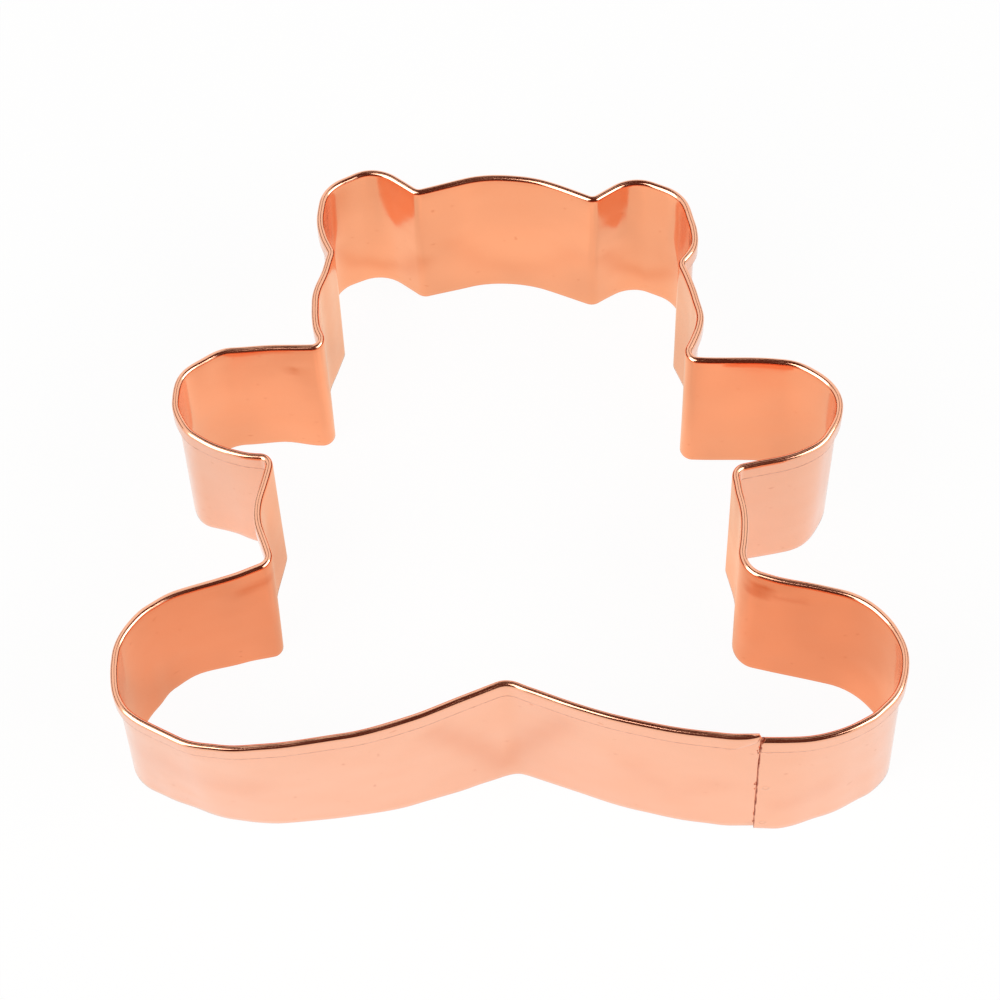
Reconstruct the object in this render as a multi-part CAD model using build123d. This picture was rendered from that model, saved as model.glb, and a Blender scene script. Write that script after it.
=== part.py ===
from build123d import *
from math import cos, pi, radians, sin, tan
import os

# A cookie cutter in the outline of a sitting bear: one strip of thin sheet, hemmed along its
# top edge, bent round the outline and spot welded where its two ends lap.
# +X runs to the right-hand foot, +Y from the feet to the ears, +Z from the cutting edge to
# the rim. The origin is on the surface it stands on, under the middle of the outline.

# The outline, along the middle of the rim
OUTLINE_WIDTH = 90.6
OUTLINE_LENGTH = 75.8
DEPTH = 25.4                # cutting edge to the top of the rim

# The sheet and its hem
SHEET = 0.4
HEM_DEPTH = 2.7             # top of the rim to the raw edge of the hem
HEM_GAP = 0.1               # air left between the wall and the folded hem
ROLL_FLATS = 8              # narrow flats that the rolled rim is drawn with

# The bends, as radii along the middle of the rim
NOTCH_BEND = 1.2            # beside the ears, at the neck and at the armpits
HIP_BEND = 2.6
CROTCH_BEND = 3.5
EAR_BEND = 4.9
LOBE_BEND = 3.9             # where an ear turns down towards the cheek
ARM_BEND = 5.9
HAND_BEND = 3.9             # the tighter end of the left-hand arm
FOOT_BEND = 6.4
TOE_BEND = 5.2              # the tighter end of the left-hand foot
KNEE_BEND = 7.9
CHEEK_BEND = 7.9
THIGH_BEND = 9.4
HEEL_BEND = 14.0
BELLY_BEND = 10.6
CROWN_BEND = 15.8
SHIN_BEND = 42.5
ROOM_SHARE = 0.47           # most of a run that one bend may take

# The seam, on the sole of the right-hand foot
SEAM_FROM_SOLE = 3.3        # sole corner to the raw end that lies outside
LAP = 4.2                   # length of the end that lies inside
LAP_GAP = 0.05              # air between the lapped ends
HEM_CLEARANCE = 0.2         # hem of the inside end to the raw end beside it
MITRE = 1.8                 # length over which that hem is cut back

# The spot welds in the lap
WELD_RADIUS = 0.75
WELD_DIMPLE = 0.08          # how deep the electrodes sank
DIMPLE_SHARE = 0.8          # rim of a dimple, of the weld's radius
TIP_SHARE = 0.3             # floor of a dimple, of the weld's radius
WELD_FROM_END = 1.0         # raw end to the middle of a weld
WELD_BELOW_HEM = 0.95
WELD_ABOVE_EDGE = 2.0

OVERRUN = 1.0               # how far a cutting shape runs past what it cuts

# Corners of the outline: share of the width from the middle, share of the length from the
# soles, and the bend there. The right-hand side runs up from the seam, the left-hand side
# runs down from the crown. The two sides differ a little, as hand-closed strip does.
RIGHT_SIDE_SHARES = {
    "heel": (0.405, 0.019, HEEL_BEND),
    "foot side": (0.499, 0.086, FOOT_BEND),
    "thigh side": (0.497, 0.192, KNEE_BEND),
    "thigh top": (0.450, 0.254, THIGH_BEND),
    "hip": (0.290, 0.298, HIP_BEND),
    "belly": (0.306, 0.374, BELLY_BEND),
    "armpit": (0.284, 0.470, NOTCH_BEND),
    "arm end": (0.419, 0.502, ARM_BEND),
    "arm top": (0.412, 0.655, ARM_BEND),
    "neck": (0.220, 0.662, NOTCH_BEND),
    "cheek": (0.248, 0.750, CHEEK_BEND),
    "cheek notch": (0.215, 0.835, NOTCH_BEND),
    "ear side": (0.242, 0.882, LOBE_BEND),
    "ear corner": (0.219, 0.960, EAR_BEND),
    "ear top": (0.152, 0.993, EAR_BEND),
    "ear notch": (0.100, 0.950, NOTCH_BEND),
}
LEFT_SIDE_SHARES = {
    "crown": (-0.016, 1.003, CROWN_BEND),
    "ear notch": (-0.136, 0.962, NOTCH_BEND),
    "ear top": (-0.192, 1.009, EAR_BEND),
    "ear corner": (-0.261, 0.970, LOBE_BEND),
    "ear side": (-0.264, 0.905, EAR_BEND),
    "cheek notch": (-0.246, 0.848, NOTCH_BEND),
    "cheek": (-0.271, 0.765, CHEEK_BEND),
    "neck": (-0.251, 0.681, NOTCH_BEND),
    "arm top": (-0.420, 0.670, ARM_BEND),
    "arm end": (-0.452, 0.532, HAND_BEND),
    "arm underside": (-0.370, 0.497, ARM_BEND),
    "armpit": (-0.315, 0.481, NOTCH_BEND),
    "belly": (-0.328, 0.390, BELLY_BEND),
    "hip": (-0.309, 0.302, NOTCH_BEND),
    "thigh top": (-0.452, 0.244, THIGH_BEND),
    "thigh side": (-0.493, 0.183, THIGH_BEND),
    "foot side": (-0.506, 0.078, TOE_BEND),
    "heel": (-0.373, -0.004, HEEL_BEND),
    "shin": (-0.165, 0.018, SHIN_BEND),
    "crotch": (0.000, 0.104, CROTCH_BEND),
    "right shin": (0.165, 0.036, SHIN_BEND),
}
SOLE_SHARES = (0.280, 0.016)


def place(width_share, length_share):
    return Vector(width_share * OUTLINE_WIDTH, length_share * OUTLINE_LENGTH)


# Worked out from the sizes above
RIM_RADIUS = HEM_GAP / 2 + SHEET
HEM_EDGE = DEPTH - HEM_DEPTH
SOLE = place(*SOLE_SHARES)
ALONG = (place(*RIGHT_SIDE_SHARES["heel"][:2]) - SOLE).normalized()
INWARD = ALONG.rotate(Axis.Z, 90)
LAP_STEP = INWARD * (SHEET + LAP_GAP)
RAW_END = SOLE + ALONG * SEAM_FROM_SOLE
HEM_END = RAW_END + LAP_STEP - ALONG * HEM_CLEARANCE


def bent_path(points, bends):
    """Straight runs joined by tangent arcs, each no larger than its two runs allow."""
    radii = []
    for before, corner, after, bend in zip(points, points[1:], points[2:], bends):
        arriving = corner - before
        leaving = after - corner
        turn = radians(arriving.get_angle(leaving))
        room = ROOM_SHARE * min(arriving.length, leaving.length)
        radii.append(min(bend, room / tan(turn / 2)))
    return FilletPolyline(*points, radius=radii)


def outline_path():
    """From the raw end outside the seam, right round to the hem's end inside it."""
    corners = list(RIGHT_SIDE_SHARES.values()) + list(LEFT_SIDE_SHARES.values())
    points = [place(across, up) for across, up, bend in corners]
    bends = [bend for across, up, bend in corners]
    points = [RAW_END] + points + [SOLE + LAP_STEP, HEM_END]
    return bent_path(points, bends + [HEEL_BEND])


def hem_section():
    """The strip cut across: wall, rim rolled over outwards, and the folded hem."""
    roll_height = DEPTH - RIM_RADIUS
    inside, wall = -RIM_RADIUS, -HEM_GAP / 2
    turns = [pi * step / ROLL_FLATS for step in range(ROLL_FLATS + 1)]
    roll = [(-RIM_RADIUS * cos(turn), roll_height + RIM_RADIUS * sin(turn)) for turn in turns]
    with BuildSketch(Plane(RAW_END, x_dir=-INWARD, z_dir=-ALONG)) as section:
        with BuildLine():
            Line((wall, 0), (inside, 0))
            Line((inside, 0), (inside, roll_height))
            Polyline(*roll)
            Line((-inside, roll_height), (-inside, HEM_EDGE))
            Line((-inside, HEM_EDGE), (-wall, HEM_EDGE))
            Line((-wall, HEM_EDGE), (-wall, roll_height))
            Line((-wall, roll_height), (wall, roll_height))
            Line((wall, roll_height), (wall, 0))
        make_face()
    return section.sketch


def lap_tongue():
    """The end that lies inside the seam: plain wall, with the folded part cut off it."""
    with BuildSketch(Plane(HEM_END, x_dir=-INWARD, z_dir=-ALONG)) as section:
        with Locations((-HEM_GAP / 2, 0)):
            Rectangle(SHEET, DEPTH - RIM_RADIUS, align=(Align.MAX, Align.MIN))
    return extrude(section.sketch, amount=-(LAP + HEM_CLEARANCE))


def hem_mitre():
    """The wedge cut off the inside end's hem, so that it clears the raw end."""
    slope = (HEM_DEPTH - RIM_RADIUS) / MITRE
    low = HEM_EDGE - OVERRUN
    high = DEPTH - RIM_RADIUS
    with BuildSketch(Plane(HEM_END, x_dir=ALONG, z_dir=-INWARD)) as side:
        with BuildLine():
            Polyline(
                (-MITRE - OVERRUN / slope, low),
                (0, high),
                (OVERRUN, high),
                (OVERRUN, low),
                close=True,
            )
        make_face()
    return extrude(side.sketch, amount=RIM_RADIUS + OVERRUN)


def weld_places():
    """Height of each weld on the lap, by name."""
    upper = HEM_EDGE - WELD_BELOW_HEM
    return {
        "upper": upper,
        "middle": (upper + WELD_ABOVE_EDGE) / 2,
        "lower": WELD_ABOVE_EDGE,
    }


def weld_plane(height):
    """Middle of the two lapped walls, facing out of the seam."""
    stack = 2 * SHEET + LAP_GAP
    middle = RAW_END + ALONG * WELD_FROM_END + INWARD * (HEM_GAP / 2 + stack / 2)
    return Plane(middle + Vector(0, 0, height), x_dir=ALONG, z_dir=-INWARD)


def spot_weld(height):
    """The disc of fused metal through both ends, with an electrode's dimple in each face."""
    half = SHEET + LAP_GAP / 2
    disc = Cylinder(WELD_RADIUS, 2 * half)
    dimple = Cone(WELD_RADIUS * TIP_SHARE, WELD_RADIUS * DIMPLE_SHARE, WELD_DIMPLE)
    for facing in (Rot(0, 0, 0), Rot(180, 0, 0)):
        disc -= facing * Pos(0, 0, half - WELD_DIMPLE / 2) * dimple
    return weld_plane(height).location * disc


def weld_hole(height):
    through = 2 * (SHEET + OVERRUN) + LAP_GAP
    return weld_plane(height).location * Cylinder(WELD_RADIUS, through)


def cutter_strip():
    strip = sweep(hem_section(), path=outline_path()) - hem_mitre() + lap_tongue()
    for height in weld_places().values():
        strip -= weld_hole(height)
    return strip


pieces = {"cutter_strip": cutter_strip()}
for name, height in weld_places().items():
    pieces["spot_weld_" + name] = spot_weld(height)

box = pieces["cutter_strip"].bounding_box()
to_origin = Location((-box.center().X, -box.center().Y, 0))
os.makedirs("parts", exist_ok=True)
for name, piece in pieces.items():
    export_step(to_origin * piece, "parts/" + name + ".step")
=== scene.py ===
import bpy
import bmesh
import math
from mathutils import Matrix, Vector, noise


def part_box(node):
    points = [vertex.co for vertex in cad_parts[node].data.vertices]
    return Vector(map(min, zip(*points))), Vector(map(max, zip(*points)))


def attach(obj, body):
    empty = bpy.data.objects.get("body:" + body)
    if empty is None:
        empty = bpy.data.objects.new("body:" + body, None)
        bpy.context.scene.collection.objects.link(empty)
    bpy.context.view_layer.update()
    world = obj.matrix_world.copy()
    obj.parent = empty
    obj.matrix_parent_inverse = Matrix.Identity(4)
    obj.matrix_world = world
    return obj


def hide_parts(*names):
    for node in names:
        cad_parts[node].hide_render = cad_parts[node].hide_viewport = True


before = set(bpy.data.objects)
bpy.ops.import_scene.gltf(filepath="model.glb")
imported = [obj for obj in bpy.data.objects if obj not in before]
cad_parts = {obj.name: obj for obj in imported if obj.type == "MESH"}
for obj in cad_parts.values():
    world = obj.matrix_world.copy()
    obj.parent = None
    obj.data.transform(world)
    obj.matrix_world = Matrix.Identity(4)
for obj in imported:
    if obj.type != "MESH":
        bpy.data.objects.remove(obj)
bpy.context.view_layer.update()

millimetre = 0.001
mergeDistance = 0.001         # mm
sameRing = 1e-4               # mm, for telling which ring or level a vertex is on
hair = 0.01                   # mm, less than any step between two vertices
slack = 0.1                   # mm, less than the sheet is thick
bellReach = 3                 # radii beyond which a soft knock or patch is left out


def linear(hexColour):
    # sRGB hex to the linear values that shaders take
    channels = [int(hexColour[i:i + 2], 16) / 255 for i in (1, 3, 5)]
    values = [c / 12.92 if c < 0.04045 else ((c + 0.055) / 1.055) ** 2.4 for c in channels]
    return (*values, 1.0)


def inputSocket(node, name):
    # i3 is the fourth input, Coat_Weight the one called Coat Weight
    if name[0] == "i" and name[1:].isdigit():
        return node.inputs[int(name[1:])]
    return node.inputs[name.replace("_", " ")]


def addNode(tree, kind, settings=None, **inputs):
    # settings are the node's own, inputs are socket values or links from other sockets
    node = tree.nodes.new(kind)
    for name, value in (settings or {}).items():
        setattr(node, name, value)
    for name, value in inputs.items():
        socket = inputSocket(node, name)
        if isinstance(value, bpy.types.NodeSocket):
            tree.links.new(value, socket)
        else:
            socket.default_value = value
    return node


def emptyMaterial(name):
    material = bpy.data.materials.new(name)
    material.use_nodes = True
    material.node_tree.nodes.clear()
    return material, material.node_tree


def meshObject(bm, name, material):
    mesh = bpy.data.meshes.new(name)
    bm.to_mesh(mesh)
    bm.free()
    mesh.materials.append(material)
    made = bpy.data.objects.new(name, mesh)
    bpy.context.scene.collection.objects.link(made)
    return made


def smoothStep(low, high, value):
    t = min(max((value - low) / (high - low), 0.0), 1.0)
    return t * t * (3 - 2 * t)


# The strip: one length of thin sheet, its top edge folded over outwards, bent to the outline.
# Lengths in mm. Corners hold shares of the width and length, and the bend's radius.
strip = {
    "width": 90.6,
    "length": 75.8,
    "depth": 25.4,            # cutting edge to the top of the rim
    "sheet": 0.4,
    "hemDepth": 2.7,          # top of the rim to the raw edge of the hem
    "hemGap": 0.1,            # air left between the wall and the folded hem
    "edgeBreak": 0.09,        # how far the cut edges are rounded over
    "edgeSteps": 3,           # facets in each rounded edge
    "dullAndShadeBand": 0.16,             # how far the dull mark and its painted shade run up from a cut edge
    "roomShare": 0.47,        # most of a run that one bend may take
    "seamFromSole": 3.3,      # sole corner to the raw end that lies outside
    "lap": 4.2,               # length of the end that lies inside
    "lapGap": 0.05,
    "hemClearance": 0.2,      # hem of the inside end to the raw end beside it
    "tongueDrop": 1.1,        # how far the inside end's top stays below the rim's
    # the inside end's hem is cut back at a slant and its tip is pinched thin
    "shapedEnd": 4.5,         # length of strip in which that is done
    "mitre": 2.1,
    "mitreCurve": 2.4,
    "mitreReach": 4.0,
    "pinch": 0.20,
    "pinchReach": 2.0,
    "pinchRise": 0.4,         # share of the pinch that the folded part also rises
    # the raw end outside
    "rawReach": 3.0,          # how far its shape runs back along the strip
    "rawMitre": 0.05,
    "rawTip": 0.45,           # how far the rolled rim's end leans back
    "rawLift": 0.35,          # how far its lower corner was cut short
    "liftHeight": 2.0,
    "rawWander": 0.15,        # how ragged it is, and how far in
    "raggedReach": 0.5,
    "ragged": [(0, 1.9, 1.0), (3, 4.7, 0.5)],    # place in the noise, waves per mm, share
    # how finely it is drawn
    "runStep": 0.8,
    "bendStep": 0.6,
    "bendTurn": 6.0,          # degrees
    "fineStep": 0.13,         # at both ends of the strip
    "fineStart": 0.8,
    "tongueStep": 0.35,
    "wallCuts": 26,
    "hemCuts": 8,
    "rollSteps": 14,
    "smoothAngle": 35,        # degrees
    "corners": [
        (0.405, 0.019, 14.0),     # heel, right-hand side
        (0.499, 0.086, 6.4),      # foot
        (0.497, 0.192, 7.9),
        (0.450, 0.254, 9.4),      # thigh
        (0.290, 0.298, 2.6),      # hip
        (0.306, 0.374, 10.6),     # belly
        (0.284, 0.470, 1.2),      # armpit
        (0.419, 0.502, 5.9),      # arm
        (0.412, 0.655, 5.9),
        (0.220, 0.662, 1.2),      # neck
        (0.248, 0.750, 7.9),      # cheek
        (0.215, 0.835, 1.2),
        (0.242, 0.882, 3.9),      # ear
        (0.219, 0.960, 4.9),
        (0.152, 0.993, 4.9),
        (0.100, 0.950, 1.2),
        (-0.016, 1.003, 15.8),    # crown
        (-0.136, 0.962, 1.2),     # ear, left-hand side
        (-0.192, 1.009, 4.9),
        (-0.261, 0.970, 3.9),
        (-0.264, 0.905, 4.9),
        (-0.246, 0.848, 1.2),     # cheek
        (-0.271, 0.765, 7.9),
        (-0.251, 0.681, 1.2),     # neck
        (-0.420, 0.670, 5.9),     # arm
        (-0.452, 0.532, 3.9),
        (-0.370, 0.497, 5.9),
        (-0.315, 0.481, 1.2),     # armpit
        (-0.328, 0.390, 10.6),    # belly
        (-0.309, 0.302, 1.2),     # hip
        (-0.452, 0.244, 9.4),     # thigh
        (-0.493, 0.183, 9.4),
        (-0.506, 0.078, 5.2),     # foot
        (-0.373, -0.004, 14.0),   # heel
        (-0.165, 0.018, 42.5),    # shin
        (0.000, 0.104, 3.5),      # crotch
        (0.165, 0.036, 42.5),     # shin, right-hand side
    ],
    "sole": (0.280, 0.016),
    "soleBend": 14.0,
    # the hand-closed strip isn't true: distance along it from the raw end, then how far the rim
    # and the foot of the wall stand out there
    "standsOut": [
        (0, 0.1, 0.7), (2.2, 0.12, 0.7), (8, 0, -0.35), (13, 0.05, -0.4), (15.5, -0.28, -0.3),
        (19, -0.2, 0), (22, 0.03, 0), (26, -0.2, 0), (36, -0.14, 0.05), (41, -0.27, 0),
        (45, -0.05, 0), (50, -0.4, -0.2), (54.5, -0.22, 0), (57, 0, 0),
        (62.5, -0.15, -0.05), (66.5, -0.5, -0.15), (70, -0.2, -0.3),
        (74.5, 0.6, 0.3), (80, -0.15, 0.3), (86, 0.13, 0.3), (93, -0.07, 0.1), (97, 0.22, 0),
        (99.5, 0.18, 0), (102.5, -0.25, 0), (107, 0.1, 0), (109.5, 0.22, 0), (113, -0.3, -0.2),
        (118, -0.08, -0.25), (124, -0.12, -0.25), (129, -0.07, 0), (134, 0.05, 0),
        (140.5, -0.2, -0.1), (146, -0.08, 0), (151.5, -0.13, 0.1), (158, -0.18, 0.1),
        (162.5, -0.3, 0.2), (168, 0, 0.2), (171, 0.22, 0.15), (173.3, 0.02, 0.1),
        (176.5, -0.3, 0), (180.5, -0.15, 0), (184, 0.28, 0.1), (187, -0.27, 0.15),
        (192, -0.12, 0.9), (196.5, -0.25, 0.7), (200, -0.5, 0.5), (204.5, 0.43, 0.2),
        (210, -0.58, -0.4), (216, 0.34, -0.9), (219, 0.4, -0.6), (223, -0.15, -0.2), (230, 0.2, 0),
        (235, -0.2, 0.2), (240, -0.58, 0.6), (245, -0.53, 0.9), (249, -0.58, 0.35),
        (252, -0.3, -0.1), (257, -0.06, 0), (260, -0.3, 0), (267, 1.05, -0.4), (272, 1.0, -0.9),
        (276, 0.62, -0.9), (282, 0.6, -0.3), (290, 0.1, -0.45), (298, -0.18, -0.15),
        (305, -0.28, 0.3), (309, -0.3, 0.5), (312, 0, 0.1), (318, 0.12, 0.1), (326, -0.08, 0.2),
        (333, 0.1, 0.6), (337, 0.12, 0.7),
    ],
    "waves": 0.035,           # how far the wall wanders besides, and over what distance
    "waveLength": 11.0,
    "waveRise": 0.6,          # share of that rate up the wall
    "waveStart": (2.5, 8.0),  # it sets in between these distances from the raw end
    # small knocks: distance along, height, radius and how far the wall stands out there
    "knocks": [
        (188.5, 20.6, 1.0, 0.10), (190.2, 19.6, 0.8, -0.06), (40.5, 22.6, 2.2, -0.09),
        (37.0, 23.4, 1.6, 0.05), (238.5, 22.4, 2.0, 0.07), (241.5, 21.8, 1.5, -0.06),
        (84.5, 13.5, 0.9, 0.05), (83.0, 8.0, 0.8, -0.05), (23.5, 22.0, 1.8, 0.06),
        (204.5, 11.0, 1.4, 0.04), (135.0, 6.0, 1.6, 0.03), (298.0, 14.0, 2.2, 0.03),
    ],
    # places where a deeper colour is painted in as reflection, of copper walls mirrored in copper
    # and
    # in dents: face (-1 inside, 1 outside), half width, strength, and a line of (distance, height)
    # through them
    "paintedReflections": [
        (-1, 0.85, 1.0, [(42.4, 22.8), (43.6, 22.7)]),
        (-1, 0.85, 0.9, [(42.9, 20.9), (44.2, 20.8)]),
        (-1, 0.6, 0.35, [(38.0, 21.6), (42.5, 20.9)]),
        (-1, 1.0, 0.5, [(235.8, 21.6), (238.6, 21.0)]),
        (-1, 0.5, 0.7, [(189.4, 20.0), (189.7, 19.9)]),
        (-1, 1.4, 0.30, [(115.3, 14.8), (117.5, 8.0), (122.0, 4.0), (126.0, 6.5), (128.0, 11.0)]),
        (-1, 1.4, 0.30, [(151.8, 9.0), (154.0, 5.0), (157.6, 3.2), (161.5, 5.5), (165.0, 12.0)]),
        (-1, 1.8, 0.12, [(131.4, 11.6), (136.0, 5.5), (140.0, 4.4), (144.0, 5.5), (147.6, 11.6)]),
        (-1, 2.2, 0.45, [(112.5, 23.0), (115.0, 14.5)]),
        (-1, 2.0, 0.45, [(163.5, 23.0), (165.0, 15.5)]),
        (1, 2.0, 0.25, [(301.0, 19.0), (305.5, 11.0), (309.0, 4.0), (312.5, 11.0), (316.5, 19.0)]),
        (1, 3.5, 0.14, [(268.0, 13.0), (278.0, 12.0)]),
        (1, 2.2, 0.10, [(325.0, 12.0), (330.0, 7.0), (334.0, 11.0)]),
        (1, 2.5, 0.14, [(3.5, 7.0), (8.0, 9.0)]),
    ],
}

rimRadius = strip["hemGap"] / 2 + strip["sheet"]
rollHeight = strip["depth"] - rimRadius
hemEdge = strip["depth"] - strip["hemDepth"]


def cornerPoint(across, up):
    return Vector((across * strip["width"], up * strip["length"], 0))


sole = cornerPoint(*strip["sole"])
alongSeam = (cornerPoint(*strip["corners"][0][:2]) - sole).normalized()
inwards = Vector((-alongSeam.y, alongSeam.x, 0))
lapStep = inwards * (strip["sheet"] + strip["lapGap"])
rawEnd = sole + alongSeam * strip["seamFromSole"]
hemEnd = rawEnd + lapStep - alongSeam * strip["hemClearance"]


def bentRoute():
    # straight runs and the arcs between them, each arc no larger than its two runs allow.
    # Each part is its move or its centre and turn, and its length.
    points = [rawEnd] + [cornerPoint(across, up) for across, up, bend in strip["corners"]]
    points += [sole + lapStep, hemEnd]
    bends = [bend for across, up, bend in strip["corners"]] + [strip["soleBend"]]
    route = []
    here = points[0]
    for before, corner, after, bend in zip(points, points[1:], points[2:], bends):
        arriving = corner - before
        leaving = after - corner
        turn = math.atan2(arriving.x * leaving.y - arriving.y * leaving.x, arriving.dot(leaving))
        room = strip["roomShare"] * min(arriving.length, leaving.length)
        radius = min(bend, room / math.tan(abs(turn) / 2))
        back = radius * math.tan(abs(turn) / 2)
        start = corner - arriving.normalized() * back
        left = Vector((-arriving.y, arriving.x, 0)).normalized()
        centre = start + left * math.copysign(radius, turn)
        route.append((start - here, None, 0, (start - here).length))
        route.append((None, centre, turn, abs(turn) * radius))
        here = corner + leaving.normalized() * back
    last = points[-1] - here
    route.append((last, None, 0, last.length))
    # the first stretch is drawn apart, as both ends of the strip are drawn finely
    start = alongSeam * strip["fineStart"]
    rest = route[0][0] - start
    route[0] = (rest, None, 0, rest.length)
    return [(start, None, 0, start.length)] + route


def drawLine(bm, vert, across, up):
    # pulls a new vertex out of the last one
    made = bmesh.ops.extrude_vert_indiv(bm, verts=[vert])
    bmesh.ops.translate(bm, verts=made["verts"], vec=(across, 0, up))
    return made["verts"][0]


def drawArc(bm, vert, across, up, degrees, steps):
    # an arc about a centre that lies beside the last vertex
    centre = vert.co + Vector((across, 0, up))
    spun = bmesh.ops.spin(bm, geom=[vert], cent=centre, axis=(0, 1, 0),
                          angle=math.radians(degrees), steps=steps, use_duplicate=False)
    return [g for g in spun["geom_last"] if isinstance(g, bmesh.types.BMVert)][0]


def drawCutEdge(bm, vert):
    # from the sheet's one face to its other, with both corners rounded
    nick = strip["edgeBreak"]
    vert = drawArc(bm, vert, -nick, 0, 90, strip["edgeSteps"])
    vert = drawLine(bm, vert, 2 * nick - strip["sheet"], 0)
    return drawArc(bm, vert, 0, nick, 90, strip["edgeSteps"])


def drawHemSection(bm):
    # the strip cut across, drawn in XZ with +X outwards: wall, roll, folded hem and back down
    nick = strip["edgeBreak"]
    foot = bm.verts.new((-rimRadius, 0, nick))
    vert = drawLine(bm, foot, 0, rollHeight - nick)
    vert = drawArc(bm, vert, rimRadius, 0, 180, strip["rollSteps"])
    vert = drawLine(bm, vert, 0, hemEdge + nick + strip["dullAndShadeBand"] - rollHeight)
    vert = drawLine(bm, vert, 0, -strip["dullAndShadeBand"])
    vert = drawCutEdge(bm, vert)
    vert = drawLine(bm, vert, 0, rollHeight - hemEdge - nick)
    vert = drawLine(bm, vert, -strip["hemGap"], 0)
    vert = drawLine(bm, vert, 0, nick - rollHeight)
    drawCutEdge(bm, vert)
    bmesh.ops.remove_doubles(bm, verts=bm.verts[:], dist=mergeDistance)
    walls = [e for e in bm.edges if e.calc_length() > strip["hemDepth"]]
    hems = [e for e in bm.edges if strip["sheet"] < e.calc_length() < strip["hemDepth"]]
    bmesh.ops.subdivide_edges(bm, edges=walls, cuts=strip["wallCuts"])
    bmesh.ops.subdivide_edges(bm, edges=hems, cuts=strip["hemCuts"])


def pullRing(bm, ring, layers, distance, outwards, move, centre=None, turned=None):
    # one more ring of the sweep, shifted or turned from the last
    made = bmesh.ops.extrude_edge_only(bm, edges=ring)["geom"]
    verts = [g for g in made if isinstance(g, bmesh.types.BMVert)]
    edges = [g for g in made if isinstance(g, bmesh.types.BMEdge)]
    if centre is None:
        bmesh.ops.translate(bm, verts=verts, vec=move)
    else:
        bmesh.ops.rotate(bm, verts=verts, cent=centre, matrix=turned)
    for vert in verts:
        vert[layers["along"]] = distance
        vert[layers["outwards"]] = outwards
    fresh = set(verts)
    return [e for e in edges if e.verts[0] in fresh and e.verts[1] in fresh], verts


def placeSection(bm, layers):
    # notes each vertex's place in the section, then stands it up at the raw end
    for vert in bm.verts:
        # the cut edges, which get the dull brown and its painted shade
        wallCut = vert.co.z < strip["edgeBreak"] - hair
        hemCut = vert.co.x > 0 and -slack < vert.co.z - hemEdge < strip["edgeBreak"] + hair
        vert[layers["cut"]] = 1 if wallCut or hemCut else 0
        vert[layers["across"]] = vert.co.x
        vert[layers["outwards"]] = -inwards
    heading = Matrix.Rotation(math.atan2(-inwards.y, -inwards.x), 3, "Z")
    bmesh.ops.rotate(bm, verts=bm.verts[:], cent=(0, 0, 0), matrix=heading)
    bmesh.ops.translate(bm, verts=bm.verts[:], vec=rawEnd)


def sweepStrip(bm):
    layers = {name: bm.verts.layers.float.new(name) for name in ("along", "cut", "across", "paintedReflection")}
    layers["outwards"] = bm.verts.layers.float_vector.new("outwards")
    drawHemSection(bm)
    placeSection(bm, layers)
    ring = bm.edges[:]
    bmesh.ops.edgeloop_fill(bm, edges=ring)
    spine = []                # place, outward direction and distance of each ring
    place, outwards, distance = rawEnd, -inwards, 0.0
    route = bentRoute()
    for number, (move, centre, turn, length) in enumerate(route):
        fine = number == 0 or number > len(route) - 3       # both ends of the strip
        if centre is None:
            steps = math.ceil(length / strip["fineStep" if fine else "runStep"])
            shifted, turned = move / steps, None
        else:
            steps = max(2, math.ceil(length / strip["fineStep" if fine else "bendStep"]),
                        math.ceil(math.degrees(abs(turn)) / strip["bendTurn"]))
            shifted, turned = None, Matrix.Rotation(turn / steps, 3, "Z")
        for step in range(steps):
            distance += length / steps
            if centre is None:
                place = place + shifted
            else:
                place = centre + turned @ (place - centre)
                outwards = turned @ outwards
            ring, verts = pullRing(bm, ring, layers, distance, outwards, shifted, centre, turned)
            spine.append((place, outwards, distance))
    return ring, verts, layers, distance, spine


def sideOf(vert, point):
    # how far out a vertex lies from a point of the seam
    return -(vert.co - point).dot(inwards)


def endStrip(bm, ring, verts, layers, total):
    # caps the hem, then draws the plain wall on as the tongue of the lap
    top = [v for v in verts if abs(v.co.z - rollHeight) < sameRing]
    wallTop, gapTop = sorted(top, key=lambda v: sideOf(v, hemEnd))[:2]
    bridge = bm.edges.new((wallTop, gapTop))
    inWall = {v for v in verts if sideOf(v, hemEnd) < 0 and v.co.z < rollHeight + sameRing}
    wall = [e for e in ring if e.verts[0] in inWall and e.verts[1] in inWall]
    hem = [e for e in ring if e not in wall]
    bmesh.ops.edgeloop_fill(bm, edges=hem + [bridge])
    loop = wall + [bridge]
    distance = total
    length = strip["lap"] + strip["hemClearance"]
    steps = math.ceil(length / strip["tongueStep"])
    for step in range(steps):
        distance += length / steps
        loop, fresh = pullRing(bm, loop, layers, distance, -inwards, alongSeam * (length / steps))
        if step > 0:
            continue
        # its top is cut lower, so that it stays hidden behind the rim it lies against
        for vert in fresh:
            inHem = max(0, vert.co.z - hemEdge) / (rollHeight - hemEdge)
            vert.co.z -= strip["tongueDrop"] * inHem
    bmesh.ops.edgeloop_fill(bm, edges=loop)
    for vert in bm.verts:
        along = vert[layers["along"]]
        atHemEnd = abs(along - total) < sameRing and vert.co.z < rollHeight
        if along < sameRing or (atHemEnd and sideOf(vert, hemEnd) > 0):
            vert[layers["cut"]] = 1


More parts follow.
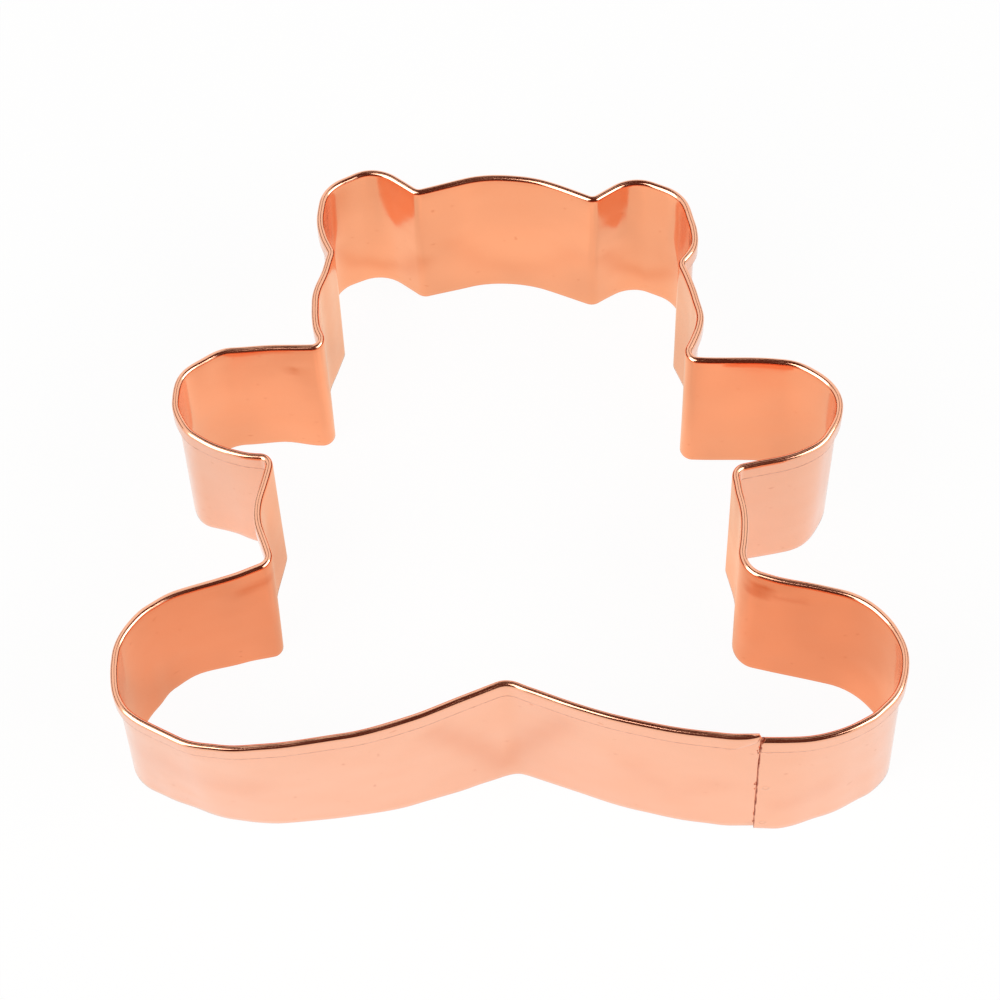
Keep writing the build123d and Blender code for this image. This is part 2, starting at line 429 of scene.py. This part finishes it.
def shapeHemEnd(vert):
    # the inside end's hem is cut back at a slant, most at its raw edge
    back = (hemEnd - vert.co).dot(alongSeam)
    side = sideOf(vert, hemEnd)
    if side <= 0 or back <= -hair:
        return
    if back < strip["mitreReach"] and vert.co.z < rollHeight:
        down = (rollHeight - vert.co.z) / (rollHeight - hemEdge)
        slant = strip["mitre"] * down ** strip["mitreCurve"]
        vert.co -= alongSeam * slant * (1 - back / strip["mitreReach"])
    # and pinched thin at its very end
    if back < strip["pinchReach"]:
        pinch = strip["pinch"] * (1 - back / strip["pinchReach"]) ** 2
        vert.co += inwards * pinch * side / rimRadius
        inHem = max(0, vert.co.z - hemEdge) / (rollHeight - hemEdge)
        vert.co.z += pinch * strip["pinchRise"] * inHem


def shapeRawEnd(vert):
    # the raw end was cut a little aslant, with its lower corner short and its rim leaning back
    near = 1 - (vert.co - rawEnd).dot(alongSeam) / strip["rawReach"]
    side = sideOf(vert, rawEnd)
    slant = 0
    if vert.co.z > rollHeight:
        slant = strip["rawTip"] * ((vert.co.z - rollHeight) / rimRadius) ** 2
    elif side > 0 and hemEdge - slack < vert.co.z < rollHeight:
        slant = strip["rawMitre"] * (rollHeight - vert.co.z) / (rollHeight - hemEdge)
    elif side <= 0 and vert.co.z < strip["liftHeight"]:
        vert.co.z += strip["rawLift"] * near * (1 - vert.co.z / strip["liftHeight"])
    vert.co += alongSeam * slant * near


def shapeEnds(bm, layers, total):
    for vert in bm.verts:
        if vert[layers["along"]] > total - strip["shapedEnd"]:
            shapeHemEnd(vert)
        elif vert[layers["along"]] < strip["rawReach"]:
            shapeRawEnd(vert)


def standsOutAt(distance, height):
    # how far the wall stands out at a place, eased from one noted place to the next
    noted = strip["standsOut"]
    before = max((n for n in noted if n[0] <= distance), default=noted[0])
    after = min((n for n in noted if n[0] > distance), default=noted[-1])
    share = smoothStep(before[0], after[0], distance) if after[0] > before[0] else 0
    rim = before[1] + (after[1] - before[1]) * share
    foot = before[2] + (after[2] - before[2]) * share
    return foot + (rim - foot) * height / strip["depth"]


def knockAt(distance, height):
    return sum(out * math.exp(-((distance - along) ** 2 + (height - up) ** 2) / radius ** 2)
               for along, up, radius, out in strip["knocks"]
               if abs(distance - along) < bellReach * radius)


def paintedReflectionAt(distance, height, face):
    # how much the painted reflection deepens the colour there
    deepest = 0.0
    here = Vector((distance, height))
    for side, width, strength, line in strip["paintedReflections"]:
        reach = bellReach * width
        if side != face or not line[0][0] - reach < distance < line[-1][0] + reach:
            continue
        for start, end in zip(map(Vector, line), map(Vector, line[1:])):
            share = (here - start).dot(end - start) / (end - start).length_squared
            nearest = start.lerp(end, min(max(share, 0), 1))
            off = (here - nearest).length / width
            deepest = max(deepest, strength * math.exp(-off ** 2))
    return deepest


def bendByHand(bm, layers, total):
    # leans, bulges, knocks and the deeper colours of painted reflection, all by place along the
    # strip and height
    insideFace = slack - rimRadius
    for vert in bm.verts:
        along = vert[layers["along"]]
        height = vert.co.z
        # the tongue goes with the start of the strip, which it lies against
        distance = max(0, along - total - strip["hemClearance"]) if along > total else along
        place = Vector((vert.co.x, vert.co.y, height * strip["waveRise"])) / strip["waveLength"]
        wander = noise.noise(place) * strip["waves"] * smoothStep(*strip["waveStart"], distance)
        face = -1 if vert[layers["across"]] < insideFace else 1
        # painted reflection: a deeper colour where copper would mirror copper
        vert[layers["paintedReflection"]] = paintedReflectionAt(distance, height, face)
        out = standsOutAt(distance, height) + wander + knockAt(distance, height)
        vert.co += vert[layers["outwards"]] * out
        if along < strip["raggedReach"]:
            ragged = sum(share * noise.noise(Vector((start, 0, height * rate)))
                         for start, rate, share in strip["ragged"])
            near = 1 - along / strip["raggedReach"]
            vert.co -= alongSeam * ragged * strip["rawWander"] * near


def finishPiece(bm, name, material, replaced, smoothAngle):
    bmesh.ops.recalc_face_normals(bm, faces=bm.faces[:])
    bmesh.ops.scale(bm, verts=bm.verts[:], vec=(millimetre,) * 3)
    piece = meshObject(bm, name, material)
    piece.data.shade_smooth()
    piece.data.set_sharp_from_angle(angle=math.radians(smoothAngle))
    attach(piece, "root")
    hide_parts(*replaced)


# Polished copper, drawn and rolled into strip, under a thin clear lacquer: a warm mirror with
# a little haze and faint lines along the strip, deeper in colour where reflections of copper
# are painted in, and dull brown where it was cut, darkened there as painted shade of the gaps.
copperLook = {
    "face": "#fcbb99",
    "warm": "#fbb591",        # in the patches of haze
    "paintedReflection": "#e27838",       # painted reflection, of copper mirrored in copper; the faint specks take it too
    "cutDullAndShade": "#9c4630",     # where it was cut: a dull edge, with painted shade of the gap beside it
    "roughness": 0.12,
    "hazier": 0.20,
    "tarnishRoughness": 0.5,
    "patch": 9.0,             # mm across a patch of haze
    "patchLimits": (0.4, 0.75),
    "speck": 0.3,             # strength of the faint specks
    "speckSize": 0.769,       # mm from one possible speck to the next
    "speckLimits": (0.80, 0.86),
    "dullAndShadePatch": 0.625,       # mm over which the cut's dullness and painted shade come and go
    "dullAndShadeLimits": (0.35, 0.6),
    "dullAndShadeLeast": 0.35,
    "lacquer": 0.25,          # weight of the clear coat that keeps it bright
    "lacquerRoughness": 0.04,
    "lacquerGone": 0.6,       # dullness at which none of it is left
    "lineSpacing": 0.35,      # mm between drawn lines, coarser than real ones, so that they show
    "lineLength": 33.3,       # mm over which a line fades and comes again
    "lineBump": (0.05, 0.00002),    # strength and depth in m
    "ripple": 7.0,            # mm from one shallow ripple to the next
    "rippleBump": (0.15, 0.001),
}


def polishedCopper():
    look = copperLook
    material, tree = emptyMaterial("polished copper strip")
    shader = addNode(tree, "ShaderNodeBsdfPrincipled", Metallic=1.0,
                     Coat_Weight=look["lacquer"], Coat_Roughness=look["lacquerRoughness"])
    addNode(tree, "ShaderNodeOutputMaterial", Surface=shader.outputs["BSDF"])
    here = addNode(tree, "ShaderNodeTexCoord").outputs["Object"]
    inMm = addNode(tree, "ShaderNodeVectorMath", {"operation": "SCALE"},
                   i0=here, Scale=1 / millimetre).outputs[0]
    height = addNode(tree, "ShaderNodeSeparateXYZ", i0=inMm).outputs["Z"]
    run, paintedReflection, cut = [addNode(tree, "ShaderNodeAttribute", {"attribute_name": name}).outputs["Fac"]
                       for name in ("along", "paintedReflection", "cut")]

    # large soft patches of haze
    patch = addNode(tree, "ShaderNodeTexNoise", i0=inMm, Scale=1 / look["patch"],
                    Detail=3.0).outputs["Fac"]
    low, high = look["patchLimits"]
    haze = addNode(tree, "ShaderNodeMapRange", i0=patch, i1=low, i2=high,
                   i3=look["roughness"], i4=look["hazier"]).outputs[0]
    colour = addNode(tree, "ShaderNodeMix", {"data_type": "RGBA"}, i0=patch,
                     i6=linear(look["face"]), i7=linear(look["warm"])).outputs[2]

    # deeper where reflection of copper is painted in, with a few faint specks
    grain = addNode(tree, "ShaderNodeTexNoise", i0=inMm, Scale=1 / look["speckSize"],
                    Detail=0.0).outputs["Fac"]
    low, high = look["speckLimits"]
    specks = addNode(tree, "ShaderNodeMapRange", i0=grain, i1=low, i2=high,
                     i3=0.0, i4=look["speck"]).outputs[0]
    deeper = addNode(tree, "ShaderNodeMath", {"operation": "MAXIMUM"},
                     i0=paintedReflection, i1=specks).outputs[0]
    colour = addNode(tree, "ShaderNodeMix", {"data_type": "RGBA"}, i0=deeper,
                     i6=colour, i7=linear(look["paintedReflection"])).outputs[2]

    # dull brown where the sheet was cut, which is also painted shade: the dark line in the seam's
    # gap and under the hem's edge
    uneven = addNode(tree, "ShaderNodeTexNoise", i0=inMm, Scale=1 / look["dullAndShadePatch"],
                     Detail=3.0).outputs["Fac"]
    low, high = look["dullAndShadeLimits"]
    uneven = addNode(tree, "ShaderNodeMapRange", i0=uneven, i1=low, i2=high,
                     i3=look["dullAndShadeLeast"], i4=1.0).outputs[0]
    dullAndShade = addNode(tree, "ShaderNodeMath", {"operation": "MULTIPLY", "use_clamp": True},
                   i0=cut, i1=uneven).outputs[0]
    colour = addNode(tree, "ShaderNodeMix", {"data_type": "RGBA"}, i0=dullAndShade,
                     i6=colour, i7=linear(look["cutDullAndShade"])).outputs[2]
    rougher = addNode(tree, "ShaderNodeMix", {"data_type": "FLOAT"}, i0=dullAndShade,
                      i2=haze, i3=look["tarnishRoughness"]).outputs[0]
    coat = addNode(tree, "ShaderNodeMapRange", i0=dullAndShade, i1=0.0, i2=look["lacquerGone"],
                   i3=look["lacquer"], i4=0.0).outputs[0]

    # drawn lines, long along the strip and fine across it, and shallow ripples
    lineRun = addNode(tree, "ShaderNodeMath", {"operation": "DIVIDE"},
                      i0=run, i1=look["lineLength"]).outputs[0]
    lineRise = addNode(tree, "ShaderNodeMath", {"operation": "DIVIDE"},
                       i0=height, i1=look["lineSpacing"]).outputs[0]
    linePlace = addNode(tree, "ShaderNodeCombineXYZ", i0=lineRun, i2=lineRise).outputs[0]
    lines = addNode(tree, "ShaderNodeTexNoise", i0=linePlace, Scale=1.0, Detail=2.0).outputs["Fac"]
    strength, depth = look["lineBump"]
    lined = addNode(tree, "ShaderNodeBump", Strength=strength, Distance=depth,
                    Height=lines).outputs["Normal"]
    ripple = addNode(tree, "ShaderNodeTexNoise", i0=inMm, Scale=1 / look["ripple"],
                     Detail=1.0).outputs["Fac"]
    strength, depth = look["rippleBump"]
    rippled = addNode(tree, "ShaderNodeBump", Strength=strength, Distance=depth,
                      Height=ripple, Normal=lined).outputs["Normal"]

    finished = {"Base Color": colour, "Roughness": rougher, "Coat Weight": coat, "Normal": rippled}
    for name, value in finished.items():
        tree.links.new(value, shader.inputs[name])
    return material


copper = polishedCopper()
print("copper made")

bm = bmesh.new()
ring, lastVerts, layers, total, spine = sweepStrip(bm)
endStrip(bm, ring, lastVerts, layers, total)
shapeEnds(bm, layers, total)
# set over the CAD strip's middle before the hand's work, which isn't even all round
low = Vector([min(v.co[i] for v in bm.verts) for i in range(3)])
high = Vector([max(v.co[i] for v in bm.verts) for i in range(3)])
cadLow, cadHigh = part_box("cutter_strip")
shift = (cadLow + cadHigh) / 2 / millimetre - (low + high) / 2
shift.z = 0
bmesh.ops.translate(bm, verts=bm.verts[:], vec=shift)
print("strip swept:", len(bm.faces), "faces, length", round(total, 1), "mm")
bendByHand(bm, layers, total)
finishPiece(bm, "hemmedStrip", copper, ["cutter_strip"], strip["smoothAngle"])

# The spot welds: a button of fused metal through both ends, with the electrode's ring proud of
# each face and beads of splash where it reached the raw end. Lengths in mm.
weld = {
    "fromEnd": 1.0,
    "radius": 0.78,
    "ringHeight": 0.022,
    "buried": 0.08,
    # one face from the middle out: share of the radius and of the ring's height
    "profile": [(0.0, 0.3), (0.30, 0.3), (0.45, 0.55), (0.62, 1.0), (0.74, 0.85)],
    "turnSteps": 40,
    "smoothAngle": 50,        # degrees
    "dulled": (0.4, 0.6),     # shares of the radius between which the electrode dulled it
    "dullness": 0.2,
    "heights": {"spot_weld_upper": 21.75, "spot_weld_middle": 11.875, "spot_weld_lower": 2.0},
    # splash: how far before the raw end, how far above the weld's middle, radius
    "splash": {
        "spot_weld_upper": [
            (0.03, -0.35, 0.13), (0.30, -0.55, 0.08), (0.0, -0.9, 0.10), (0.2, -1.1, 0.07),
        ],
        "spot_weld_middle": [
            (0.28, 0.1, 0.09), (0.05, -0.3, 0.10), (0.03, -0.8, 0.09), (0.22, -1.2, 0.07),
            (0.0, -1.6, 0.08),
        ],
        "spot_weld_lower": [
            (0.0, 1.5, 0.08), (0.03, 0.9, 0.10), (0.0, 0.5, 0.09), (0.1, -0.6, 0.07),
        ],
    },
    "beadShape": (1.0, 1.3, 0.6),
    "beadLumps": 9.0,         # lumps per mm, and their share of the radius
    "beadLump": 0.5,
    "beadSunk": 0.06,         # below the outside face, for beads on the raw end
    "beadBehind": 0.38,       # and for those that ran off it, on to the wall behind
    "beadOnEnd": 0.1,         # how far before the raw end a bead still sits on it
}


def drawButton(bm, half, cut):
    # both faces of the button, turned round its axis
    radius = weld["radius"]
    points = [(share * radius, half + up * weld["ringHeight"]) for share, up in weld["profile"]]
    points += [(radius, half - weld["buried"])]
    points += [(r, -z) for r, z in reversed(points)]
    verts = [bm.verts.new((r, 0, z)) for r, z in points]
    edges = [bm.edges.new(pair) for pair in zip(verts, verts[1:])]
    bmesh.ops.spin(bm, geom=verts + edges, cent=(0, 0, 0), axis=(0, 0, 1), angle=2 * math.pi,
                   steps=weld["turnSteps"], use_merge=True, use_duplicate=False)
    bmesh.ops.remove_doubles(bm, verts=bm.verts[:], dist=mergeDistance)
    inner, outer = weld["dulled"]
    for vert in bm.verts:
        share = math.hypot(vert.co.x, vert.co.y) / radius
        vert[cut] = weld["dullness"] if inner < share < outer else 0.0


def addBead(bm, half, cut, before, above, radius):
    made = bmesh.ops.create_icosphere(bm, subdivisions=2, radius=radius)["verts"]
    bmesh.ops.scale(bm, verts=made, vec=weld["beadShape"])
    for vert in made:
        lump = noise.noise(vert.co * weld["beadLumps"] + Vector((above, before, 0)))
        vert.co += vert.co.normalized() * lump * radius * weld["beadLump"]
        vert[cut] = 1.0
    depth = weld["beadSunk"] if before < weld["beadOnEnd"] else weld["beadBehind"]
    bmesh.ops.translate(bm, verts=made, vec=(-weld["fromEnd"] - before, above, half - depth))


def weldPiece(name, height):
    half = strip["sheet"] + strip["lapGap"] / 2
    bm = bmesh.new()
    cut = bm.verts.layers.float.new("cut")
    bm.verts.layers.float.new("along")
    # the painted reflection layer, left empty on the welds
    bm.verts.layers.float.new("paintedReflection")
    drawButton(bm, half, cut)
    for before, above, radius in weld["splash"][name]:
        addBead(bm, half, cut, before, above, radius)
    # stood on the leaning wall: x along the seam, y up it, z out of it
    standing = standsOutAt(weld["fromEnd"], height)
    lean = standsOutAt(weld["fromEnd"], height + 1) - standing
    up = (Vector((0, 0, 1)) - inwards * lean).normalized()
    out = alongSeam.cross(up)
    axes = Matrix((alongSeam, up, out)).transposed()
    middle = rawEnd + alongSeam * weld["fromEnd"]
    middle += inwards * (strip["hemGap"] / 2 + half - standing)
    bmesh.ops.rotate(bm, verts=bm.verts[:], cent=(0, 0, 0), matrix=axes)
    bmesh.ops.translate(bm, verts=bm.verts[:], vec=middle + shift + Vector((0, 0, height)))
    finishPiece(bm, name.removeprefix("spot_") + "Mark", copper, [name],
                weld["smoothAngle"])


for name, height in weld["heights"].items():
    weldPiece(name, height)
print("welds made")


# The camera stands where the photograph's does
camera = {
    "place": (10.10, -218.19, 442.9),   # mm, in the row frame
    "down": 63.11,                      # degrees below level
    "heading": 3.09,                    # degrees to the left of +Y
    "roll": -2.20,
    "lens": 144.97,                     # mm, on a sensor this wide
    "sensor": 36.0,
    "clip": (0.01, 50.0),               # m
}


def placeCamera():
    down, roll = math.radians(camera["down"]), math.radians(camera["roll"])
    level = Vector((1, 0, 0))
    rising = Vector((0, math.sin(down), math.cos(down)))
    view = Vector((0, math.cos(down), -math.sin(down)))
    right = level * math.cos(roll) + rising * math.sin(roll)
    up = rising * math.cos(roll) - level * math.sin(roll)
    axes = Matrix((right, up, -view)).transposed()
    axes = Matrix.Rotation(math.radians(camera["heading"]), 3, "Z") @ axes
    data = bpy.data.cameras.new("photoCamera")
    data.sensor_width = camera["sensor"]
    data.lens = camera["lens"]
    data.clip_start, data.clip_end = camera["clip"]
    seen = bpy.data.objects.new("photoCamera", data)
    place = Vector(camera["place"]) * millimetre
    seen.matrix_world = Matrix.Translation(place) @ axes.to_4x4()
    bpy.context.scene.collection.objects.link(seen)
    bpy.context.scene.camera = seen


placeCamera()
bpy.context.scene.view_settings.view_transform = "Standard"

# The studio: pale paper, two softboxes, dark sheets over and around them that only the metal
# sees, as painted dark reflections with a painted warm glow, and the light that the copper throws
# on the paper. Lengths in m where nothing else is said.
studio = {
    "white": (1, 1, 1, 1),
    "skyLight": 0.10,
    "paper": "#f3f1ee",
    "paperRadius": 4.0,
    "paperSides": 96,
    "paperDrop": 0.00002,     # how far it lies under the cutting edge
    "paperGlow": 0.95,        # share of the paper that is plain background, to the camera
    "mirroredGlow": 0.75,     # and in the metal
    "fade": (0.16, 0.40),     # from the middle, where the paper turns into background
    "shadeSheet": "#140c0a",
    "shadeSheetRoughness": 0.9,
    "paintedSheetGlow": "#4e2011",   # a painted warm glow, standing in for the room's light it would send back
    "shadeSheetCorners": [
        # in order round each sheet: above and in front, behind, the front's fall, both sides
        [(-0.5, 0.45, 1.5), (0.5, 0.45, 1.5), (2.4, -3.2, 1.5), (-1.9, -3.2, 1.5)],
        [(-0.1, 0.45, 1.5), (0.1, 0.45, 1.5), (0.8, 3.6, 1.5), (-0.8, 3.6, 1.5)],
        [(-1.9, -3.2, 1.5), (2.4, -3.2, 1.5), (2.4, -3.2, 0.02), (-1.9, -3.2, 0.02)],
        [(-2.5, -0.5, 0.9), (-2.5, 2.6, 0.9), (-2.5, 2.6, 0.02), (-2.5, -0.5, 0.02)],
        [(2.5, -0.5, 0.9), (2.5, 2.6, 0.9), (2.5, 2.6, 0.02), (2.5, -0.5, 0.02)],
    ],
    "castLow": "#efb084",     # light thrown by the copper on the paper, at the legs
    "castHigh": "#ffdfc0",    # and at the head
    "castRange": (-0.03, 0.036),
    "castShare": 0.82,
    "castPatch": 17.0,        # mm across a lighter or darker patch of it
    "castLimits": (0.3, 0.7),
    "castUneven": 0.16,       # how much stronger or weaker than full it is there
    "castStep": 0.4,          # mm between corners of its outline
    "castHeight": 0.02,       # mm above the cutting edge
    "boxes": [
        # degrees round from the camera's side, degrees up, metres away, width, height, watts
        (-51, 42, 0.60, 0.36, 0.70, 3.4),
        (70, 40, 0.60, 0.43, 0.34, 2.4),
    ],
}


def backgroundRays(tree):
    # 1 for rays that should meet plain white: the camera's, and those seen in metal or glass
    path = addNode(tree, "ShaderNodeLightPath").outputs
    seen = addNode(tree, "ShaderNodeMath", {"operation": "ADD"},
                   i0=path["Is Camera Ray"], i1=path["Is Glossy Ray"]).outputs[0]
    return addNode(tree, "ShaderNodeMath", {"operation": "ADD", "use_clamp": True},
                   i0=seen, i1=path["Is Transmission Ray"]).outputs[0]


def onlyInMetal(made):
    # leaves it to the rays that polished metal mirrors
    made.visible_camera = False
    made.visible_diffuse = False
    made.visible_shadow = False
    made.visible_transmission = False


def makeWorld():
    world = bpy.data.worlds.new("paleStudio")
    world.use_nodes = True
    tree = world.node_tree
    tree.nodes.clear()
    light = addNode(tree, "ShaderNodeBackground", Color=studio["white"],
                    Strength=studio["skyLight"]).outputs[0]
    white = addNode(tree, "ShaderNodeBackground", Color=studio["white"], Strength=1.0).outputs[0]
    share = backgroundRays(tree)
    mixed = addNode(tree, "ShaderNodeMixShader", i0=share, i1=light, i2=white).outputs[0]
    addNode(tree, "ShaderNodeOutputWorld", Surface=mixed)
    bpy.context.scene.world = world


def makeFloor():
    # matt paper that turns into plain background away from the middle
    material, tree = emptyMaterial("pale seamless paper")
    matt = addNode(tree, "ShaderNodeBsdfDiffuse", Color=linear(studio["paper"]),
                   Roughness=1.0).outputs[0]
    white = addNode(tree, "ShaderNodeEmission", Color=studio["white"], Strength=1.0).outputs[0]
    here = addNode(tree, "ShaderNodeTexCoord").outputs["Object"]
    away = addNode(tree, "ShaderNodeVectorMath", {"operation": "LENGTH"}, i0=here).outputs["Value"]
    toCamera = addNode(tree, "ShaderNodeLightPath").outputs["Is Camera Ray"]
    near = addNode(tree, "ShaderNodeMapRange", i0=toCamera,
                   i3=studio["mirroredGlow"], i4=studio["paperGlow"]).outputs[0]
    low, high = studio["fade"]
    share = addNode(tree, "ShaderNodeMapRange", {"interpolation_type": "SMOOTHSTEP"}, i0=away,
                    i1=low, i2=high, i3=near, i4=1.0).outputs[0]
    share = addNode(tree, "ShaderNodeMath", {"operation": "MULTIPLY"},
                    i0=share, i1=backgroundRays(tree)).outputs[0]
    mixed = addNode(tree, "ShaderNodeMixShader", i0=share, i1=matt, i2=white).outputs[0]
    addNode(tree, "ShaderNodeOutputMaterial", Surface=mixed)
    bm = bmesh.new()
    bmesh.ops.create_circle(bm, cap_ends=True, segments=studio["paperSides"],
                            radius=studio["paperRadius"])
    bmesh.ops.translate(bm, verts=bm.verts[:], vec=(0, 0, -studio["paperDrop"]))
    floor = meshObject(bm, "paperFloor", material)


def makeMirroredShade():
    # dark sheets that only the metal sees, painted dark reflections of the unlit room: over and in
    # front, so that the rim gets its dark streaks, and low at both sides; they carry a painted warm
    # glow
    material = bpy.data.materials.new("painted dark reflection sheet")
    material.use_nodes = True
    shader = material.node_tree.nodes["Principled BSDF"]
    shader.inputs["Base Color"].default_value = linear(studio["shadeSheet"])
    shader.inputs["Roughness"].default_value = studio["shadeSheetRoughness"]
    shader.inputs["Emission Color"].default_value = linear(studio["paintedSheetGlow"])
    shader.inputs["Emission Strength"].default_value = 1.0
    bm = bmesh.new()
    for corners in studio["shadeSheetCorners"]:
        bm.faces.new([bm.verts.new(corner) for corner in corners])
    shadeSheet = meshObject(bm, "mirroredShadeSheets", material)
    onlyInMetal(shadeSheet)


def makeCastLight():
    # the orange light that polished copper throws on the paper inside the outline, as the
    # walls mirror it: redder between the legs' walls than under the head
    material, tree = emptyMaterial("light cast by copper")
    here = addNode(tree, "ShaderNodeTexCoord").outputs["Object"]
    headwards = addNode(tree, "ShaderNodeSeparateXYZ", i0=here).outputs["Y"]
    low, high = studio["castRange"]
    share = addNode(tree, "ShaderNodeMapRange", {"interpolation_type": "SMOOTHSTEP"},
                    i0=headwards, i1=low, i2=high).outputs[0]
    colour = addNode(tree, "ShaderNodeMix", {"data_type": "RGBA"}, i0=share,
                     i6=linear(studio["castLow"]), i7=linear(studio["castHigh"])).outputs[2]
    patch = addNode(tree, "ShaderNodeTexNoise", i0=here,
                    Scale=1 / (studio["castPatch"] * millimetre), Detail=2.0).outputs["Fac"]
    low, high = studio["castLimits"]
    strength = addNode(tree, "ShaderNodeMapRange", i0=patch, i1=low, i2=high,
                       i3=1 - studio["castUneven"], i4=1 + studio["castUneven"]).outputs[0]
    glow = addNode(tree, "ShaderNodeEmission", Color=colour, Strength=strength).outputs[0]
    clear = addNode(tree, "ShaderNodeBsdfTransparent").outputs[0]
    mixed = addNode(tree, "ShaderNodeMixShader", i0=studio["castShare"],
                    i1=clear, i2=glow).outputs[0]
    addNode(tree, "ShaderNodeOutputMaterial", Surface=mixed)
    bm = bmesh.new()
    corners = []
    last = -studio["castStep"]
    for place, outwards, distance in spine:
        if distance - last < studio["castStep"]:
            continue
        last = distance
        corner = place + shift + outwards * (standsOutAt(distance, 0) - rimRadius)
        corners.append(bm.verts.new((corner.x, corner.y, studio["castHeight"])))
    pool = bm.faces.new(corners)
    pool.normal_update()
    bmesh.ops.triangulate(bm, faces=[pool])
    bmesh.ops.scale(bm, verts=bm.verts[:], vec=(millimetre,) * 3)
    cast = meshObject(bm, "castLight", material)
    onlyInMetal(cast)


def makeSoftboxes():
    for number, (heading, up, away, width, height, watts) in enumerate(studio["boxes"]):
        data = bpy.data.lights.new("softbox%d" % number, "AREA")
        data.shape = "RECTANGLE"
        data.size = width
        data.size_y = height
        data.energy = watts
        box = bpy.data.objects.new("softbox%d" % number, data)
        level, rise = math.radians(heading), math.radians(up)
        flat = math.cos(rise)
        direction = Vector((math.sin(level) * flat, -math.cos(level) * flat, math.sin(rise)))
        box.location = direction * away
        box.rotation_euler = direction.to_track_quat("Z", "Y").to_euler()
        bpy.context.scene.collection.objects.link(box)


makeWorld()
makeFloor()
makeMirroredShade()
makeCastLight()
makeSoftboxes()
print("studio made")
